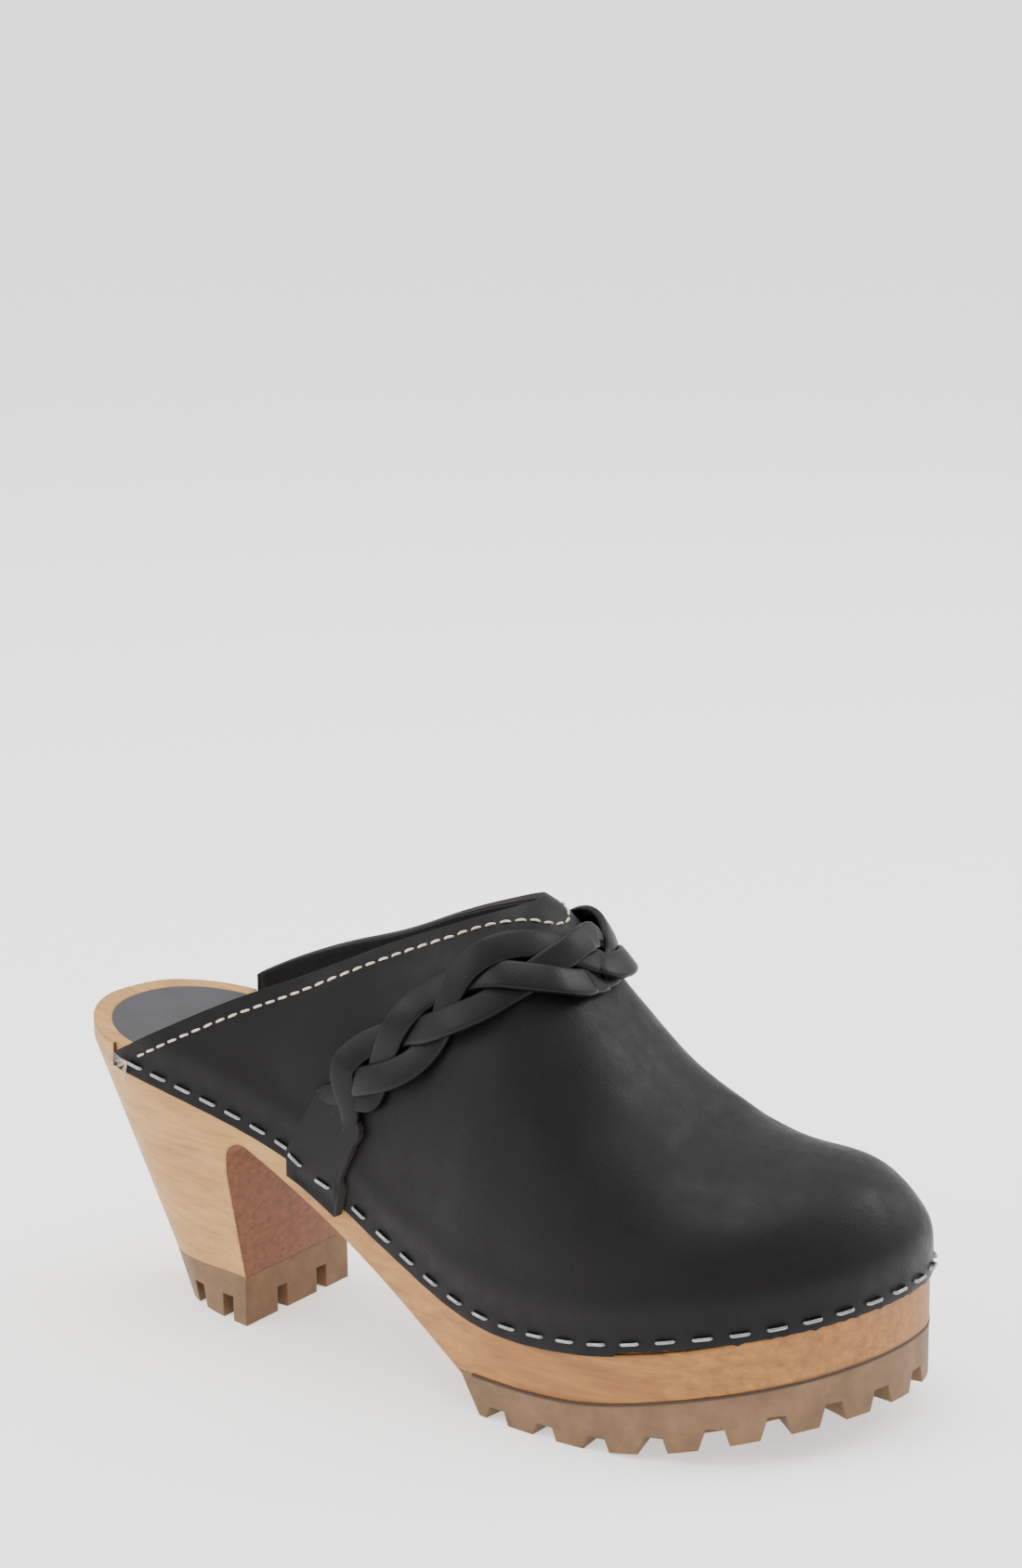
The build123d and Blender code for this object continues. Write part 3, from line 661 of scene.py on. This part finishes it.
def strandSections(number, step=0.003):
    # each row is one crowned section, which leans as the strand passes over its neighbour
    q = np.linspace(0, 1, plait["stations"])
    centre, normal, phase, plaited = strandCentre(q, number)
    ahead = strandCentre(np.minimum(q + step, 1), number)[0]
    behind = strandCentre(np.maximum(q - step, 0), number)[0]
    heading = unit(ahead - behind)
    across = unit(np.cross(normal, heading))
    up = np.cross(heading, across)
    lean = (plait["tilt"] * plaited * np.cos(phase))[:, None]
    across, up = across * np.cos(lean) + up * np.sin(lean), up * np.cos(lean) - across * np.sin(lean)
    angle = np.linspace(0, 2 * np.pi, plait["aroundSection"], endpoint=False)
    flat, thick = plait["squareness"]
    wide = np.sign(np.cos(angle)) * np.abs(np.cos(angle)) ** flat
    high = np.sign(np.sin(angle)) * np.abs(np.sin(angle)) ** thick * clog["strap"] / 2
    high = high - plait["edgeCurl"] * np.abs(wide) ** 3
    narrow = plait["slitPitch"] / plait["width"]
    halfWidth = plait["width"] / 2 * (narrow + (1 - narrow) * plaited)
    rows = centre[:, None] + across[:, None] * (wide * halfWidth[:, None])[..., None]
    return (rows + up[:, None] * high[:, None] + shift) * mm


def strand(name, number, node):
    sections = strandSections(number)
    shape = bmesh.new()
    bmesh.ops.create_circle(shape, segments=plait["aroundSection"], radius=mm, cap_ends=False)
    loops = [list(shape.verts)]
    edges = list(shape.edges)
    for _ in sections[1:]:
        made = bmesh.ops.extrude_edge_only(shape, edges=edges)["geom"]
        loops.append([part for part in made if isinstance(part, bmesh.types.BMVert)])
        edges = [part for part in made if isinstance(part, bmesh.types.BMEdge) and len(part.link_faces) == 1]
    for section, loop in zip(sections, loops):
        for vert, place in zip(loop, section):
            vert.co = place
    bmesh.ops.holes_fill(shape, edges=[edge for edge in shape.edges if edge.is_boundary], sides=0)
    bmesh.ops.recalc_face_normals(shape, faces=shape.faces)
    piece = newPiece(name, shape, [strapFace])
    roundEdges(piece, plait["edgeRound"], 1, 60)
    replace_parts(piece, node)


for number in range(3):
    strand(f"plaitStrand{number + 1}", number, f"braid_strand_{number + 1}")
print("plait made")


# ---- topline stitches and the frayed end of their thread

seam = {
    "pitch": 4.0, "length": 2.9, "wire": 0.7, "inset": 4.5,
    "overlength": 1.04, "proud": 0.26, "sag": 0.45, "skew": 0.07,     # how a stitch sits in the leather
    "rings": 8, "sides": 10, "ends": 0.012, "seed": 4,
}
fray = {"fibres": 22, "length": 7.0, "thick": (0.09, 0.05), "lift": 0.3, "sides": 6, "cuts": 6}


def stitchRow():
    t = np.linspace(seam["ends"], 1 - seam["ends"], 400)
    s = 1 - seam["inset"] / heightOf(t)
    row = upperPlace(t, s)
    return row, skinNormal(t, s), runAlong(row)


def makeStitches():
    row, out, run = stitchRow()
    dice = random.Random(seam["seed"])
    shape = bmesh.new()

    def sample(values, at):
        return np.array([np.interp(at, run, values[:, k]) for k in range(3)])
    for at in np.arange(seam["pitch"], run[-1] - seam["pitch"], seam["pitch"]):
        here = sample(row, at + seam["length"] / 2)
        forward = unit(sample(row, at + seam["length"]) - sample(row, at))
        up = sample(out, at)
        up = unit(up - forward * (up @ forward))
        side = np.cross(up, forward)
        skew = dice.uniform(-seam["skew"], seam["skew"])
        ball = bmesh.ops.create_uvsphere(shape, u_segments=seam["sides"], v_segments=seam["rings"], radius=1)
        for vert in ball["verts"]:
            # the ball is drawn out along the seam, kept fat to its ends, and its ends are sunk
            x, y, z = vert.co
            far = z * seam["length"] / 2 * seam["overlength"]
            fat = seam["wire"] / 2 / max((1 - z * z) ** 0.25, 0.35) if abs(z) < 0.99 else 0
            rise = y * fat + seam["proud"] - seam["sag"] * z * z
            vert.co = (here + forward * far + side * (x * fat + skew * far) + up * rise + shift) * mm
    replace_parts(newPiece("toplineStitching", shape, [thread]), "topline_stitching")


def makeFray():
    row, out, _ = stitchRow()
    dice = random.Random(seam["seed"] + 1)
    up = out[0]
    root = row[0] + up * fray["lift"]
    back = unit(row[0] - row[4])
    side = np.cross(up, back)
    thick, thin = fray["thick"]
    shape = bmesh.new()
    for _ in range(fray["fibres"]):
        length = fray["length"] * dice.uniform(0.35, 1)
        lean, lift, bend = dice.uniform(-0.9, 0.9), dice.uniform(0.0, 0.5), dice.uniform(-0.5, 0.5)
        cone = bmesh.ops.create_cone(shape, segments=fray["sides"], radius1=thick, radius2=thin, depth=1,
                                     cap_ends=True)["verts"]
        lines = {edge for vert in cone for edge in vert.link_edges}
        lengthwise = [e for e in lines if abs(e.verts[0].co.z - e.verts[1].co.z) > 0.5]
        bmesh.ops.subdivide_edges(shape, edges=lengthwise, cuts=fray["cuts"])
        for vert in [v for v in shape.verts if not v.tag]:
            vert.tag = True
            x, y, z = vert.co
            far = (z + 0.5) * length
            place = root + back * far * math.cos(lean)
            place = place + side * (far * math.sin(lean) + bend * far * far / length + x)
            place = place + up * (far * lift * (1 - far / length / 2) + y)
            vert.co = (place + shift) * mm
    newPiece("threadFray", shape, [thread])


makeStitches()
makeFray()
print("seam made")


# ---- dark glue line where the wood meets the tread

joint = {"height": 0.7, "proud": 0.35, "wall": 0.3, "fromX": 142.5, "across": 300, "upward": 2,
         "treadTop": [(125, 11), (150, 10.8), (175, 11.8), (205, 17.2), (250, 24.5)]}


def glueLine():
    treadTopZ = smoothLine(joint["treadTop"])
    start = int(np.argmax(walk[:, 0] > joint["fromX"]))
    stop = len(walk) - int(np.argmax(walk[::-1, 0] > joint["fromX"]))
    band = walk[start:stop] + joint["proud"] * outward[start:stop]

    def place(u, v):
        at = u * (len(band) - 1)
        x, y = (np.interp(at, np.arange(len(band)), band[:, k]) for k in (0, 1))
        return np.column_stack([x, y, treadTopZ(x) + (v - 0.5) * joint["height"]])
    giveThickness(bentSheet("glueLine", joint["across"], joint["upward"], place, [cement]),
                  joint["wall"])


glueLine()
print("glue line made")


# ---- studio: pale floor, soft light from above and both sides, camera

studio = {
    "floor": "#f4f3f1", "floorGlow": 0.9, "floorReach": 20, "floorRough": 0.85, "world": 1.2,
    # name, place, aim, size and watts of each soft light
    "lights": [("topSoft", (-0.1, 0.1, 1.3), (0, 0, 0.05), (1.2, 1.0), 14),
               ("leftSoft", (-0.9, -0.9, 0.9), (0, 0, 0.05), (0.9, 0.7), 9),
               ("rimSoft", (0.7, 0.9, 0.8), (0, 0, 0.08), (0.6, 0.6), 7)],
    "lens": 87.825, "sensor": 36, "eye": (0.51342, -0.80732, 0.40281),
    "side": 32.0303, "down": 14.5059, "roll": -0.4553,      # the camera's turns, in degrees
}


def paleFloor():
    # matt painted board, lit from behind so that it stays pale
    material, shader, _ = newMaterial("paleFloor", Roughness=studio["floorRough"])
    for name in ("Base Color", "Emission Color"):
        shader.inputs[name].default_value = srgb(studio["floor"])
    shader.inputs["Emission Strength"].default_value = studio["floorGlow"]
    return material


def makeFloor():
    shape = bmesh.new()
    bmesh.ops.create_grid(shape, x_segments=2, y_segments=2, size=studio["floorReach"])
    mesh = bpy.data.meshes.new("floor")
    shape.to_mesh(mesh)
    shape.free()
    mesh.materials.append(paleFloor())
    floor = bpy.data.objects.new("floor", mesh)
    bpy.context.scene.collection.objects.link(floor)


def softLight(name, place, aim, size, watts):
    data = bpy.data.lights.new(name, "AREA")
    data.shape = "RECTANGLE"
    data.size, data.size_y = size
    data.energy = watts
    lamp = bpy.data.objects.new(name, data)
    lamp.location = place
    lamp.rotation_euler = (Vector(aim) - Vector(place)).to_track_quat("-Z", "Y").to_euler()
    bpy.context.scene.collection.objects.link(lamp)


def makeCamera():
    side, down, roll = (math.radians(studio[name]) for name in ("side", "down", "roll"))
    level = Vector((math.cos(side), math.sin(side), 0))
    back = Vector((math.sin(side) * math.cos(down), -math.cos(side) * math.cos(down), math.sin(down)))
    up = back.cross(level)
    right = level * math.cos(roll) + up * math.sin(roll)
    upright = up * math.cos(roll) - level * math.sin(roll)
    data = bpy.data.cameras.new("camera")
    data.lens = studio["lens"]
    data.sensor_width = studio["sensor"]
    camera = bpy.data.objects.new("camera", data)
    turn = Matrix((right, upright, back)).transposed().to_4x4()
    camera.matrix_world = Matrix.Translation(studio["eye"]) @ turn
    bpy.context.scene.collection.objects.link(camera)
    bpy.context.scene.camera = camera


def makeWorld():
    world = bpy.data.worlds.new("paleWorld")
    world.use_nodes = True
    sky = world.node_tree.nodes["Background"]
    sky.inputs["Color"].default_value = srgb("#ffffff")
    sky.inputs["Strength"].default_value = studio["world"]
    bpy.context.scene.world = world


makeWorld()
makeFloor()
for light in studio["lights"]:
    softLight(*light)
makeCamera()
print("studio made")
